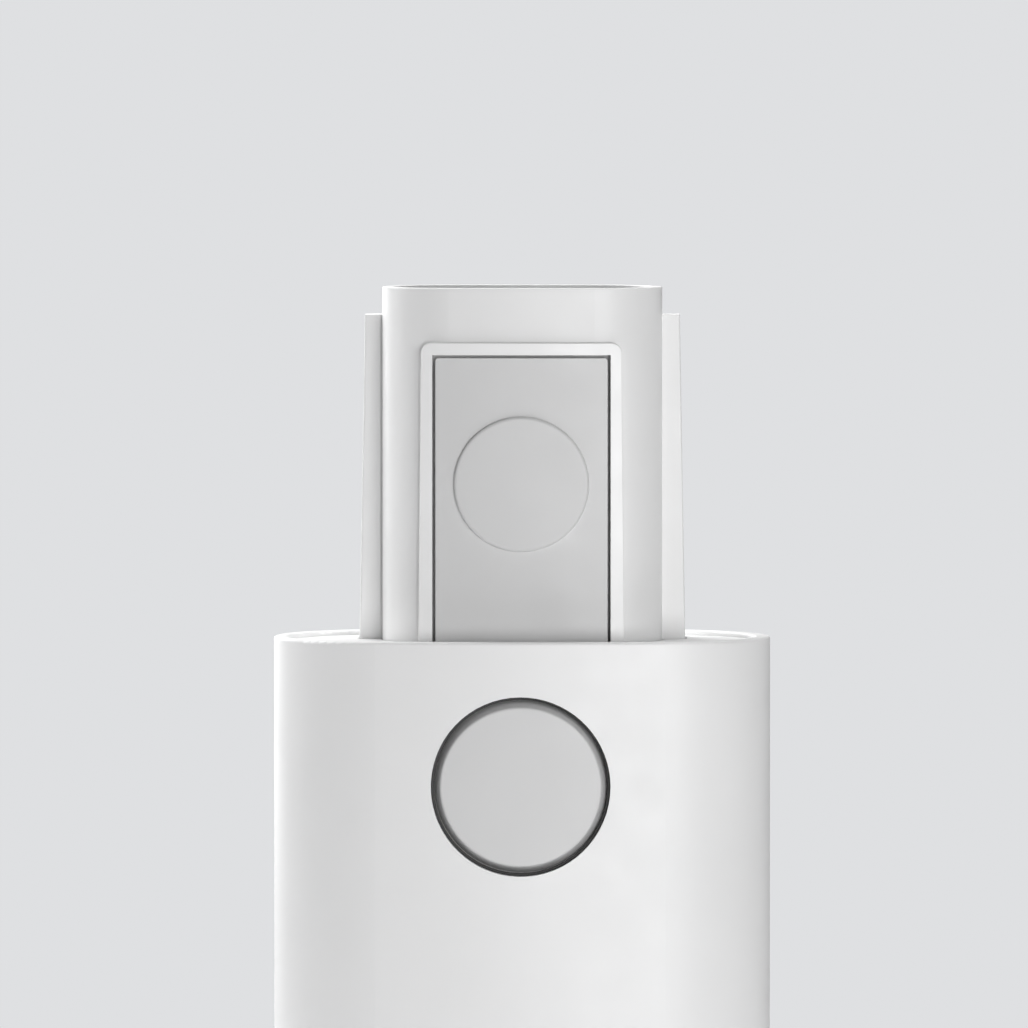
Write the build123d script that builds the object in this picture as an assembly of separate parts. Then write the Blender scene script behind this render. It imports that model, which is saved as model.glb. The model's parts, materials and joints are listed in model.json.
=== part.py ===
"""Video doorbell: an oval wall housing with a round bell button and a camera, and a battery core that rises out of its top.

Units are millimetres. X runs across the front, Y from the front to the wall, and Z up. The origin lies on the wall,
midway between the two wall screws. The core is modelled raised, as it stands while the doorbell is being serviced.
"""

from build123d import *
from math import asin, cos, hypot, radians, sin
import os

os.makedirs("parts", exist_ok=True)

# ---- Driving dimensions -------------------------------------------------------------------------------------------

# Housing: an upright oval tube with a flat back and a slightly crowned front.
SLEEVE_HALF = 30.3
SLEEVE_FRONT = -33.0
SLEEVE_BACK = -3.0
SLEEVE_SIDE_R = 14.5
SLEEVE_WALL = 1.8
RIM_Z = 64.0
BASE_Z = -64.0
BASE_CAP_T = 2.5
SEAL_T = 0.4
SIDE_CENTRE_X = SLEEVE_HALF - SLEEVE_SIDE_R
SIDE_CENTRE_Y = SLEEVE_BACK - SLEEVE_SIDE_R
INNER_BACK = SLEEVE_BACK - SLEEVE_WALL
CAP_TOP = BASE_Z + BASE_CAP_T
SLEEVE_BOTTOM = CAP_TOP + SEAL_T

# Collar that closes the housing's top round the core.
COLLAR_TOP = 63.4
COLLAR_T = 2.0
COLLAR_GAP = 0.15

# Core: a smaller oval tube, drawn here at the top of its travel.
CORE_HALF = 17.1
CORE_FRONT = -24.0
CORE_BACK = -6.0
CORE_SIDE_R = 8.85
CORE_WALL = 1.4
CORE_TOP = 106.6
CORE_BOTTOM = 18.6
CORE_MID_Y = CORE_BACK - CORE_SIDE_R

# Guide rails on the core's sides. They widen downwards, so they tighten in the collar as the core rises.
RAIL_TOP = 103.1
RAIL_TOP_HALF = 19.26
RAIL_TAPER = 0.0172
RAIL_FRONT = -14.2
RAIL_BACK = -8.2
STOP_TOP = COLLAR_TOP - COLLAR_T - 0.2
STOP_T = 4.3
STOP_HALF = 21.6

# Raised frame round the press plate. Its outside widens downwards too.
FRAME_TOP = 100.0
FRAME_BOTTOM = 40.4
FRAME_TOP_HALF = 12.2
FRAME_TAPER = 0.0091
FRAME_FACE = -24.9
FRAME_CORNER_R = 1.27
FRAME_LIP_END = -22.4
WINDOW_HALF = 10.85
WINDOW_TOP = 98.5
WINDOW_BOTTOM = 42.0
CUTOUT_MARGIN = 0.72

# Press plate and its round pad.
PLATE_GAP = 0.36
PLATE_FACE = -24.55
PLATE_BACK = -21.4
PAD_Z = 82.8
PAD_R = 8.25
PAD_FACE = -25.1

# Bell button and camera, which share one hole size.
HOLE_R = 10.88
BUTTON_Z = 46.5
BUTTON_R = 10.45
BUTTON_FACE = -32.85
BUTTON_EDGE_R = 0.3
BUTTON_FACE_R = 9.6
BUTTON_SIDE_START = -30.6
CAMERA_Z = -46.5
EAR_REACH = 14.9


# Floor of the core's bay, and the electronics bay under it.
BULKHEAD_TOP = -20.0
BULKHEAD_T = 2.0
SENSOR_Z = -28.9
TERMINAL_Z = -32.0
SPEAKER_Y = -15.2

# Wall bracket and the studs that hang in it.
BRACKET_HALF = 15.0
BRACKET_HEIGHT = 89.0
BRACKET_FACE = -2.8
BRACKET_SKIN = 1.1
WALL_HOLE_Z = 40.5
WALL_HOLE_R = 2.25
STUD_X = 9.5
STUD_Z = 15.5
STUD_HEAD_R = 2.9
STUD_NECK_R = 1.5
LIFT = 6.0

# Small screws share one pilot hole and one head.
SCREW_R = 0.8
SCREW_HEAD_R = 1.8
SCREW_HEAD_T = 0.9
PILOT_R = 0.85



# ---- Helpers ------------------------------------------------------------------------------------------------------


def block(x0, x1, y0, y1, z0, z1):
    """A box given by its limits on each axis."""
    centre = ((x0 + x1) / 2, (y0 + y1) / 2, (z0 + z1) / 2)
    return Pos(*centre) * Box(x1 - x0, y1 - y0, z1 - z0)


def rod_x(radius, x0, x1, y, z):
    return Pos((x0 + x1) / 2, y, z) * Rot(0, 90, 0) * Cylinder(radius, x1 - x0)


def rod_y(radius, y0, y1, x, z):
    return Pos(x, (y0 + y1) / 2, z) * Rot(90, 0, 0) * Cylinder(radius, y1 - y0)


def rod_z(radius, z0, z1, x, y):
    return Pos(x, y, (z0 + z1) / 2) * Cylinder(radius, z1 - z0)


def crown_radius(half, front, back, side_r):
    """The radius of an oval's front, which makes it meet both round sides smoothly."""
    side_x, reach = half - side_r, back - side_r - front
    return (side_x**2 + reach**2 - side_r**2) / (2 * (reach - side_r))


def oval(half, front, back, side_r):
    """An oval outline: a crowned front, two round sides and a flat back, each tangent to the next."""
    side_x, side_y = half - side_r, back - side_r
    front_r = crown_radius(half, front, back, side_r)
    away = hypot(side_x, side_y - front - front_r)
    meet_x = side_x + side_r * side_x / away
    meet_y = side_y + side_r * (side_y - front - front_r) / away
    front_arc = ThreePointArc((-meet_x, meet_y), (0, front), (meet_x, meet_y))
    right_arc = ThreePointArc((meet_x, meet_y), (half, side_y), (side_x, back))
    back_line = Line((side_x, back), (-side_x, back))
    left_arc = ThreePointArc((-side_x, back), (-half, side_y), (-meet_x, meet_y))
    return make_face(front_arc + right_arc + back_line + left_arc)


def upright(outline, z0, z1):
    """An outline in X and Y, stretched from z0 to z1."""
    return Pos(0, 0, z0) * extrude(outline, amount=z1 - z0, dir=(0, 0, 1))


def facing(outline, y0, y1):
    """An outline in X and Z, stretched from y0 to y1."""
    return extrude(Plane.XZ.offset(-y1) * outline, amount=y1 - y0)


def sleeve_solid(inset, z0, z1):
    """The housing's oval, brought in by inset all round."""
    outline = oval(SLEEVE_HALF - inset, SLEEVE_FRONT + inset, SLEEVE_BACK - inset, SLEEVE_SIDE_R - inset)
    return upright(outline, z0, z1)


def core_solid(inset, z0, z1):
    """The core's oval, brought in by inset all round."""
    outline = oval(CORE_HALF - inset, CORE_FRONT + inset, CORE_BACK - inset, CORE_SIDE_R - inset)
    return upright(outline, z0, z1)


def edges_at(solid, axis, place):
    """The edges that lie in the plane at place on axis."""
    return solid.edges().filter_by_position(axis, place - 0.01, place + 0.01)


def crown(front, radius):
    """A wide cylinder along Z that gives a flat front the same gentle crown as the shell round it."""
    return rod_z(radius, -80, 120, 0, front + radius)


def foremost(solid):
    """The edges round a solid's crowned front face."""
    return solid.faces().sort_by(Axis.Y)[0].edges()


SLEEVE_CROWN_R = crown_radius(SLEEVE_HALF, SLEEVE_FRONT, SLEEVE_BACK, SLEEVE_SIDE_R)
CORE_CROWN_R = crown_radius(CORE_HALF, CORE_FRONT, CORE_BACK, CORE_SIDE_R)


def both_sides(solid):
    """A solid and its mirror image across X = 0."""
    return solid + mirror(solid, Plane.YZ)


def coil_y(radius, wire, turns, y0, y1, x, z):
    """A compression spring along Y, between y0 and y1."""
    length = y1 - y0 - 2 * wire
    path = Helix(length / turns, length, radius)
    section = Plane(path @ 0, z_dir=path % 0) * Circle(wire)
    return Pos(x, y1 - wire, z) * Rot(90, 0, 0) * sweep(section, path=path)


def screw_z(x, y, head_z, tip_z):
    """A pan-head screw along Z, with the head's outer face at head_z."""
    way = 1 if head_z > tip_z else -1
    under = head_z - way * SCREW_HEAD_T
    head = rod_z(SCREW_HEAD_R, min(head_z, under), max(head_z, under), x, y)
    shank = rod_z(SCREW_R, min(tip_z, under), max(tip_z, under), x, y)
    socket = rod_z(0.7, head_z - 0.45, head_z + 0.45, x, y)
    return head + shank - socket


def save(name, shape):
    export_step(shape, f"parts/{name}.step")


# ---- Housing shell ------------------------------------------------------------------------------------------------

BASE_BOSSES = [(x, y) for x in (-23.3, 23.3) for y in (-25.0, -10.0)]
CHANNEL_SCREWS_Z = (50.0, -2.0)
CHANNEL_SCREW_Y = -11.2
CHANNEL_FACE = 21.9
CHANNEL_WEB = 1.5
BULKHEAD_BOSS_X = 26.2
LIGHT_X = 12.5
LIGHT_R = 1.2
MIC_R = 0.7
PIR_R = 4.6
TERMINAL_HALF = 9.0
TERMINAL_HEIGHT = 10.4


def insert_ears(z):
    """Where the two screws of a round insert in the front wall stand."""
    return [(-EAR_REACH, z), (EAR_REACH, z)]


def outer_sleeve():
    body = sleeve_solid(0, SLEEVE_BOTTOM, RIM_Z)
    body -= sleeve_solid(SLEEVE_WALL, SLEEVE_BOTTOM - 1, RIM_Z + 1)
    rim = edges_at(body, Axis.Z, RIM_Z)
    body = fillet(rim, 0.35)
    for x, z in insert_ears(BUTTON_Z) + insert_ears(CAMERA_Z):
        body += rod_y(2.1, -31.9, -29.2, x, z)
        body -= rod_y(0.72, -31.7, -29.1, x, z)
    for z in CHANNEL_SCREWS_Z:
        boss = rod_x(2.4, CHANNEL_FACE + CHANNEL_WEB, 30, CHANNEL_SCREW_Y, z)
        body += both_sides(boss & sleeve_solid(0.9, z - 3, z + 3))
        body -= both_sides(rod_x(PILOT_R, CHANNEL_FACE, 27.5, CHANNEL_SCREW_Y, z))
    under = BULKHEAD_TOP - BULKHEAD_T
    body += both_sides(rod_z(2.6, under - 12, under, BULKHEAD_BOSS_X, SIDE_CENTRE_Y))
    body -= both_sides(rod_z(PILOT_R, under - 10, under + 0.1, BULKHEAD_BOSS_X, SIDE_CENTRE_Y))
    for x, y in BASE_BOSSES:
        body += rod_z(2.6, SLEEVE_BOTTOM, SLEEVE_BOTTOM + 9, x, y)
        body -= rod_z(PILOT_R, SLEEVE_BOTTOM - 0.1, SLEEVE_BOTTOM + 8, x, y)
    collar_ledge_z = COLLAR_TOP - COLLAR_T
    ledge = block(25.8, 30.0, -19.5, -15.5, collar_ledge_z - 3, collar_ledge_z)
    body += both_sides(ledge & sleeve_solid(0.9, 50, 63))
    for z in (BUTTON_Z, CAMERA_Z):
        body -= rod_y(HOLE_R, -34, -28, 0, z)
    body -= rod_y(PIR_R, -34, -28, 0, SENSOR_Z)
    body -= rod_y(MIC_R, -34, -28, -LIGHT_X, SENSOR_Z)
    body -= rod_y(LIGHT_R, -34, -28, LIGHT_X, SENSOR_Z)
    body -= block(-TERMINAL_HALF, TERMINAL_HALF, -6, -2, *terminal_span())
    for x, z in stud_places():
        body -= rod_y(1.2, -6, -2, x, z)
    return body


def terminal_span():
    return TERMINAL_Z - TERMINAL_HEIGHT / 2, TERMINAL_Z + TERMINAL_HEIGHT / 2


def stud_places():
    return [(x, z) for x in (-STUD_X, STUD_X) for z in (-STUD_Z, STUD_Z)]


def hanging_studs():
    """Four shouldered rivets in the housing's back, whose heads hang in the bracket's keyholes."""
    studs = Part()
    for x, z in stud_places():
        stud = rod_y(1.2, INNER_BACK, SLEEVE_BACK, x, z) + rod_y(2.4, INNER_BACK - 0.75, INNER_BACK, x, z)
        stud += rod_y(STUD_NECK_R, SLEEVE_BACK, -1.5, x, z)
        head = rod_y(STUD_HEAD_R, -1.5, -0.5, x, z)
        studs += stud + fillet(edges_at(head, Axis.Y, -0.5), 0.3)
    return studs


def aperture(margin, z0, z1):
    """The outline of core, rails and frame together, as the collar needs it at its lower face."""
    low = COLLAR_TOP - COLLAR_T
    rail_half = RAIL_TOP_HALF + (RAIL_TOP - low) * RAIL_TAPER + margin
    frame_half = FRAME_TOP_HALF + (FRAME_TOP - low) * FRAME_TAPER + margin
    room = core_solid(-margin, z0, z1)
    room += block(-rail_half, rail_half, RAIL_FRONT - margin, RAIL_BACK + margin, z0, z1)
    room += block(-frame_half, frame_half, PAD_FACE - margin, -20, z0, z1)
    return room


def top_collar():
    low = COLLAR_TOP - COLLAR_T
    plate = sleeve_solid(SLEEVE_WALL + 0.03, low, COLLAR_TOP)
    return plate - aperture(COLLAR_GAP, low - 1, COLLAR_TOP + 1)



def base_cap():
    low = sleeve_solid(0, BASE_Z, CAP_TOP)
    low = fillet(edges_at(low, Axis.Z, BASE_Z), 1.2)
    tongue = sleeve_solid(SLEEVE_WALL + 0.15, CAP_TOP, CAP_TOP + 2.2)
    tongue -= sleeve_solid(SLEEVE_WALL + 1.35, CAP_TOP - 1, CAP_TOP + 3)
    for x, y in BASE_BOSSES:
        tongue -= rod_z(3.0, CAP_TOP - 1, CAP_TOP + 3, x, y)
    cap = low + tongue
    cap += rod_z(9.5, CAP_TOP, CAP_TOP + 2.7, 0, SPEAKER_Y) - rod_z(8.7, CAP_TOP - 1, CAP_TOP + 3, 0, SPEAKER_Y)
    for x, y in BASE_BOSSES:
        cap -= rod_z(1.1, BASE_Z - 1, CAP_TOP + 1, x, y)
        cap -= rod_z(2.0, BASE_Z - 1, BASE_Z + 1.3, x, y)
    for row in range(-3, 4):
        half = 5.2 - 0.5 * abs(row)
        slot = block(-half, half, -0.5, 0.5, BASE_Z - 1, CAP_TOP + 1)
        slot = fillet(slot.edges().filter_by(Axis.Z), 0.49)
        cap -= Pos(0, SPEAKER_Y + 2.0 * row, 0) * slot
    return cap


def base_seal():
    ring = sleeve_solid(0.45, CAP_TOP, SLEEVE_BOTTOM) - sleeve_solid(SLEEVE_WALL, CAP_TOP - 1, SLEEVE_BOTTOM + 1)
    return ring


def base_screws():
    screws = Part()
    for x, y in BASE_BOSSES:
        screws += screw_z(x, y, BASE_Z + 0.35, -54.5)
    return screws


# ---- Guide channels and bulkhead ----------------------------------------------------------------------------------

CHANNEL_TOP = 59.4
CHANNEL_BOTTOM = -16.0


def guide_channels():
    """The two channels that each hold a rail of the core between two flanges."""
    web_out = CHANNEL_FACE + CHANNEL_WEB
    front, back = RAIL_FRONT - 0.2, RAIL_BACK + 0.2
    body = block(CHANNEL_FACE, web_out, front - 1.6, back + 1.6, CHANNEL_BOTTOM, CHANNEL_TOP)
    body += block(17.75, CHANNEL_FACE, front - 1.6, front, CHANNEL_BOTTOM, CHANNEL_TOP)
    body += block(17.75, CHANNEL_FACE, back, back + 1.6, CHANNEL_BOTTOM, CHANNEL_TOP)
    body &= sleeve_solid(SLEEVE_WALL + 0.05, CHANNEL_BOTTOM - 1, CHANNEL_TOP + 1)
    for z in CHANNEL_SCREWS_Z:
        body -= rod_x(1.0, CHANNEL_FACE - 1, web_out + 1, CHANNEL_SCREW_Y, z)
        body -= rod_x(SCREW_HEAD_R + 0.1, CHANNEL_FACE - 1, CHANNEL_FACE + 1.0, CHANNEL_SCREW_Y, z)
    return both_sides(body)


def inner_screws():
    """The screws inside the housing, which are all alike but for their way in."""
    screws = Part()
    for z in CHANNEL_SCREWS_Z:
        head = rod_x(SCREW_HEAD_R, 22.0, 22.9, CHANNEL_SCREW_Y, z)
        head -= rod_x(0.7, 21.5, 22.45, CHANNEL_SCREW_Y, z)
        screws += both_sides(head + rod_x(SCREW_R, 22.9, 27.2, CHANNEL_SCREW_Y, z))
    for x, z in insert_ears(BUTTON_Z) + insert_ears(CAMERA_Z):
        head = rod_y(1.5, EAR_FACE, EAR_FACE + 0.9, x, z) - rod_y(0.6, EAR_FACE + 0.45, EAR_FACE + 1.2, x, z)
        screws += head + rod_y(0.7, -31.4, EAR_FACE, x, z)
    for side in (-1, 1):
        x, z = side * 9.0, CAMERA_Z + side * 5.8
        screws += rod_y(1.4, -18.6, -17.9, x, z) - rod_y(0.5, -18.2, -17, x, z) + rod_y(0.65, -22.2, -18.6, x, z)
    screws += both_sides(screw_z(BULKHEAD_BOSS_X, SIDE_CENTRE_Y, BULKHEAD_TOP + SCREW_HEAD_T, -28.5))
    return screws


POGO_HALF_X = 7.9
POGO_FRONT = -17.9
POGO_BACK = -12.1
PIN_PLACES = [(x, CORE_MID_Y) for x in (-6.0, -3.6, -1.2, 1.2, 3.6, 6.0)]


def bulkhead():
    under = BULKHEAD_TOP - BULKHEAD_T
    plate = sleeve_solid(SLEEVE_WALL + 0.15, under, BULKHEAD_TOP)
    plate -= both_sides(rod_z(1.0, under - 1, BULKHEAD_TOP + 1, BULKHEAD_BOSS_X, SIDE_CENTRE_Y))
    plate -= block(-POGO_HALF_X, POGO_HALF_X, POGO_FRONT, POGO_BACK, under - 1, BULKHEAD_TOP + 1)
    plate -= block(12.5, 19.5, -26.0, -22.0, under - 1, BULKHEAD_TOP + 1)
    return plate


def pogo_block():
    body = block(-POGO_HALF_X, POGO_HALF_X, POGO_FRONT, POGO_BACK, -24.5, -19.2)
    for x, y in PIN_PLACES:
        body -= rod_z(0.75, -25, -19, x, y)
    return body


def pogo_pins():
    pins = Part()
    for x, y in PIN_PLACES:
        tip = fillet(edges_at(rod_z(0.5, -19.4, -18.0, x, y), Axis.Z, -18.0), 0.35)
        pins += rod_z(0.75, -25.2, -19.4, x, y) + tip
    return pins


# ---- Bell button --------------------------------------------------------------------------------------------------

BUTTON_STROKE = 0.9
GUIDE_R = 13.7
GUIDE_BORE_R = 12.5
BUTTON_FLANGE_R = 12.2
EAR_FACE = -28.0
EAR_SEAT = -29.2


def round_insert(back, floor_t):
    """A cup behind a round hole in the front wall, with an ear on each side, its floor at back."""
    body = rod_y(GUIDE_R, -32, back, 0, 0) - rod_y(GUIDE_BORE_R, -33, back - floor_t, 0, 0)
    for x, z in insert_ears(0):
        body += rod_y(2.3, EAR_SEAT, EAR_FACE, x, z)
        body -= rod_y(2.3, -33, EAR_SEAT, x, z)
        body -= rod_y(1.7, EAR_FACE, -24, x, z)
        body -= rod_y(0.8, -33, EAR_FACE + 1, x, z)
    return body


def button_guide():
    body = Pos(0, 0, BUTTON_Z) * round_insert(-26.0, 1.2)
    body -= rod_y(3.9, -28, -25, 0, BUTTON_Z)
    return body & sleeve_solid(SLEEVE_WALL, 0, RIM_Z)



def button_barrel():
    """The button's round body, whose side tapers in from the wall towards the front."""
    taper = (BUTTON_R - BUTTON_FACE_R) / (BUTTON_SIDE_START - BUTTON_FACE)
    front_y = BUTTON_FACE - 0.6
    front_r = BUTTON_FACE_R - 0.6 * taper
    back = [(0, front_y), (0, -29.3), (BUTTON_R, -29.3), (BUTTON_R, BUTTON_SIDE_START), (front_r, front_y)]
    return Pos(0, 0, BUTTON_Z) * revolve(make_face(Polyline(*back, close=True)), Axis.Y)


def bell_button():
    """The button's cap, with a flange inside the wall and a hollow stem that carries the magnet."""
    face = button_barrel() & crown(BUTTON_FACE, SLEEVE_CROWN_R)
    face = fillet(foremost(face), BUTTON_EDGE_R)
    body = face + rod_y(BUTTON_FLANGE_R, -30.2, -29.3, 0, BUTTON_Z)
    body -= rod_y(8.8, -31.2, -29, 0, BUTTON_Z)
    body += rod_y(3.6, -31.3, -26.6, 0, BUTTON_Z)
    return body - rod_y(2.5, -29.6, -26, 0, BUTTON_Z)


def button_magnet():
    return rod_y(2.5, -29.6, -26.8, 0, BUTTON_Z)


def button_spring():
    return coil_y(6.6, 0.3, 3.5, -31.15, -27.25, 0, BUTTON_Z)


# ---- Camera -------------------------------------------------------------------------------------------------------

GLASS_R = 9.4
GLASS_FRONT = -32.75
GLASS_BACK = -31.6
HOLDER_HALF_X = 10.7
HOLDER_HALF_Z = 7.5
HOLDER_FRONT = -24.0
HOLDER_BACK = -19.6
FILTER_PITCH = 6.0
LIGHT_BOARD_FRONT = -29.55


def camera_trim():
    body = rod_y(HOLE_R - 0.1, -33.1, -29.6, 0, CAMERA_Z)
    body = fillet(edges_at(body, Axis.Y, -33.1), 0.3)
    body += rod_y(12.0, -30.2, -29.6, 0, CAMERA_Z)
    body -= rod_y(GLASS_R + 0.05, -34, GLASS_BACK, 0, CAMERA_Z)
    return body - rod_y(8.8, -34, -29, 0, CAMERA_Z)


def camera_window():
    glass = rod_y(GLASS_R, GLASS_FRONT, GLASS_BACK, 0, CAMERA_Z)
    return chamfer(edges_at(glass, Axis.Y, GLASS_FRONT), 0.15)



LED_PLACES = [(7.0 * cos(radians(a)), CAMERA_Z + 7.0 * sin(radians(a))) for a in range(30, 390, 60)]


def ir_led_board():
    ring = rod_y(8.9, LIGHT_BOARD_FRONT, LIGHT_BOARD_FRONT + 0.7, 0, CAMERA_Z)
    return ring - rod_y(5.4, -31, -28, 0, CAMERA_Z)


def ir_leds():
    leds = Part()
    for x, z in LED_PLACES:
        base = block(x - 1.1, x + 1.1, LIGHT_BOARD_FRONT - 0.5, LIGHT_BOARD_FRONT, z - 1.1, z + 1.1)
        leds += base + rod_y(0.9, LIGHT_BOARD_FRONT - 0.9, LIGHT_BOARD_FRONT - 0.5, x, z)
    return leds


def lens_barrel():
    body = rod_y(5.0, -31.1, HOLDER_FRONT, 0, CAMERA_Z)
    body = chamfer(edges_at(body, Axis.Y, -31.1), 0.3)
    body -= rod_y(3.6, -32, -29.7, 0, CAMERA_Z)
    return body - rod_y(2.9, -30, -23, 0, CAMERA_Z)


def lens_element(radius, front, back, curve_r):
    """A glass disc with a domed front."""
    disc = rod_y(radius, front - 1, back, 0, CAMERA_Z)
    return disc & (Pos(0, front + curve_r, CAMERA_Z) * Sphere(curve_r))


def lens_elements():
    glass = lens_element(3.55, -30.9, -29.7, 6.5)
    return glass + lens_element(2.85, -28.8, -27.6, 9.0) + lens_element(2.85, -26.4, -25.0, 7.0)




def camera_cradle():
    """The ring behind the camera's trim, with an ear on each side, that holds the lens holder and the light board."""
    body = rod_y(12.0, -29.6, -26.4, 0, CAMERA_Z) + rod_y(GUIDE_R, EAR_SEAT, -26.4, 0, CAMERA_Z)
    for x, z in insert_ears(CAMERA_Z):
        body += rod_y(2.3, EAR_SEAT, EAR_FACE, x, z)
        body -= rod_y(1.7, EAR_FACE, -26, x, z)
        body -= rod_y(0.8, -33, EAR_FACE + 1, x, z)
    body -= rod_y(8.95, -30, LIGHT_BOARD_FRONT + 0.7, 0, CAMERA_Z)
    body -= rod_y(8.2, -30, -27.6, 0, CAMERA_Z)
    return body - rod_y(6.35, -30, -26, 0, CAMERA_Z)


def lens_holder():
    """The block behind the lens: a collar for the barrel, a track for the filter shuttle and a seat for the sensor."""
    x, z = HOLDER_HALF_X, HOLDER_HALF_Z
    body = block(-x, x, HOLDER_FRONT, HOLDER_BACK, CAMERA_Z - z, CAMERA_Z + z)
    body += rod_y(6.3, -27.0, HOLDER_FRONT, 0, CAMERA_Z) - rod_y(5.02, -28, HOLDER_FRONT, 0, CAMERA_Z)
    body -= rod_y(2.9, -25, -22, 0, CAMERA_Z)
    body -= block(-9.3, 9.3, -22.5, -20.9, CAMERA_Z - 3.9, CAMERA_Z + 3.9)
    body -= block(-4.3, 4.3, -21.0, -19, CAMERA_Z - 3.7, CAMERA_Z + 3.7)
    body -= block(-3.9, 3.9, -22.1, -21.3, CAMERA_Z + 3.8, CAMERA_Z + z + 1)
    for side in (-1, 1):
        body -= rod_y(0.7, -22.4, -19, side * 9.0, CAMERA_Z + side * 5.8)
    return body


def filter_shuttle():
    """The sliding plate that puts the day filter or the clear glass in front of the sensor."""
    centre = FILTER_PITCH / 2
    plate = block(centre - 6.0, centre + 6.0, -22.1, -21.3, CAMERA_Z - 3.6, CAMERA_Z + 3.6)
    plate += block(centre - 0.4, centre + 0.4, -21.95, -21.45, CAMERA_Z + 3.6, CAMERA_Z + 8.4)
    for x in (0, FILTER_PITCH):
        plate -= block(x - 2.3, x + 2.3, -21.8, -21, CAMERA_Z - 2.5, CAMERA_Z + 2.5)
        plate -= block(x - 2.0, x + 2.0, -23, -21, CAMERA_Z - 2.2, CAMERA_Z + 2.2)
    return plate


def filter_glasses():
    glasses = Part()
    for x in (0, FILTER_PITCH):
        glasses += block(x - 2.3, x + 2.3, -21.8, -21.4, CAMERA_Z - 2.5, CAMERA_Z + 2.5)
    return glasses


def filter_actuator():
    """The small motor above the lens holder, open underneath where the shuttle's pin runs."""
    body = block(-6.5, 6.5, -23.4, -20.0, CAMERA_Z + 7.5, CAMERA_Z + 11.0)
    return body - block(-4.2, 4.2, -22.3, -21.1, CAMERA_Z + 7, CAMERA_Z + 9.2)


def image_sensor():
    return block(-3.6, 3.6, -20.7, HOLDER_BACK, CAMERA_Z - 3.0, CAMERA_Z + 3.0)


def camera_board():
    board = block(-11.0, 11.0, HOLDER_BACK, -18.6, CAMERA_Z - 8.3, CAMERA_Z + 8.3)
    for side in (-1, 1):
        board -= rod_y(0.8, -20, -18, side * 9.0, CAMERA_Z + side * 5.8)
    return board



# ---- Electronics bay ----------------------------------------------------------------------------------------------

MAIN_BOARD_FRONT = -12.6
MAIN_BOARD_BACK = -11.4
SENSOR_BOARD_FRONT = -25.5


def main_board():
    board = block(-20.2, 20.2, MAIN_BOARD_FRONT, MAIN_BOARD_BACK, -55.0, -25.6)
    return fillet(board.edges().filter_by(Axis.Y), 1.0)


def radio_shield():
    can = block(-16.0, 2.0, -15.0, MAIN_BOARD_FRONT, -46.0, -29.0)
    can = fillet(can.edges().filter_by(Axis.Y), 0.6)
    return can - block(-15.7, 1.7, -14.7, -12, -45.7, -29.3)


def camera_flex():
    """The folded ribbon between the camera's board and the main board."""
    fold = FilletPolyline((-18.6, -50.5), (-14.2, -50.5), (-14.2, -48.0), (-12.6, -48.0), radius=0.7)
    strip = Plane.YZ.offset(5.0) * trace(fold, line_width=0.24)
    strip = extrude(strip, amount=8.0)
    return strip & block(0, 20, -18.6, MAIN_BOARD_FRONT, -60, -40)


def sensor_board():
    """The small board behind the motion sensor, with the status light's chip on it."""
    board = block(-15.5, 15.5, SENSOR_BOARD_FRONT, -24.5, -33.6, -23.6)
    return board + block(LIGHT_X - 0.8, LIGHT_X + 0.8, -26.3, SENSOR_BOARD_FRONT, SENSOR_Z - 0.5, SENSOR_Z + 0.5)


def pir_lens():
    """The domed lens of the motion sensor, a thin shell that pushes in from behind."""
    chord, rise, skin = PIR_R - 0.1, 1.5, 0.6
    ball = (chord**2 + rise**2) / (2 * rise)
    tip = SLEEVE_FRONT - 1.1
    centre, inner = tip + ball, ball - skin
    turn, inner_turn = asin(chord / ball), asin((chord - skin) / inner)
    inner_rise = centre - inner * cos(inner_turn)
    dome = ThreePointArc((0, tip), (ball * sin(turn / 2), centre - ball * cos(turn / 2)), (chord, tip + rise))
    walls = Polyline(
        (chord, tip + rise), (chord, -30.9), (5.5, -30.9), (5.5, -30.0), (chord - skin, -30.0), (chord - skin, inner_rise)
    )
    half_way = (inner * sin(inner_turn / 2), centre - inner * cos(inner_turn / 2))
    hollow = ThreePointArc((chord - skin, inner_rise), half_way, (0, tip + skin))
    profile = make_face(dome + walls + hollow + Line((0, tip + skin), (0, tip)))
    return Pos(0, 0, SENSOR_Z) * revolve(profile, axis=Axis.Y)


def pir_sensor():
    can = rod_y(2.9, -29.4, SENSOR_BOARD_FRONT, 0, SENSOR_Z)
    can = fillet(edges_at(can, Axis.Y, -29.4), 0.3)
    return can + rod_y(3.3, -26.0, SENSOR_BOARD_FRONT, 0, SENSOR_Z)


def microphone():
    return block(-LIGHT_X - 1.9, -LIGHT_X + 1.9, -26.7, SENSOR_BOARD_FRONT, SENSOR_Z - 1.5, SENSOR_Z + 1.5)



def light_pipe():
    pipe = rod_y(LIGHT_R - 0.05, -32.4, -26.5, LIGHT_X, SENSOR_Z)
    return fillet(edges_at(pipe, Axis.Y, -32.4), 0.3) + rod_y(1.9, -29.6, -28.8, LIGHT_X, SENSOR_Z)



def speaker_driver():
    """The speaker's basket with its magnet."""
    basket = rod_z(8.6, -61.2, -58.9, 0, SPEAKER_Y) - rod_z(7.6, -62, -59.7, 0, SPEAKER_Y)
    return basket + rod_z(4.9, -59.6, -57.0, 0, SPEAKER_Y)


def speaker_cone():
    """A shallow paper cone with a domed dust cap."""
    cone = Pos(0, SPEAKER_Y, -60.45) * (Cone(7.5, 3.2, 1.1) - Pos(0, 0, -0.25) * Cone(7.5, 3.2, 1.1))
    dome = Sphere(4.4) - Sphere(4.15)
    dome &= Pos(0, 0, -4.4) * Box(12, 12, 2.1)
    return cone + Pos(0, SPEAKER_Y, -56.55) * dome



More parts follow.
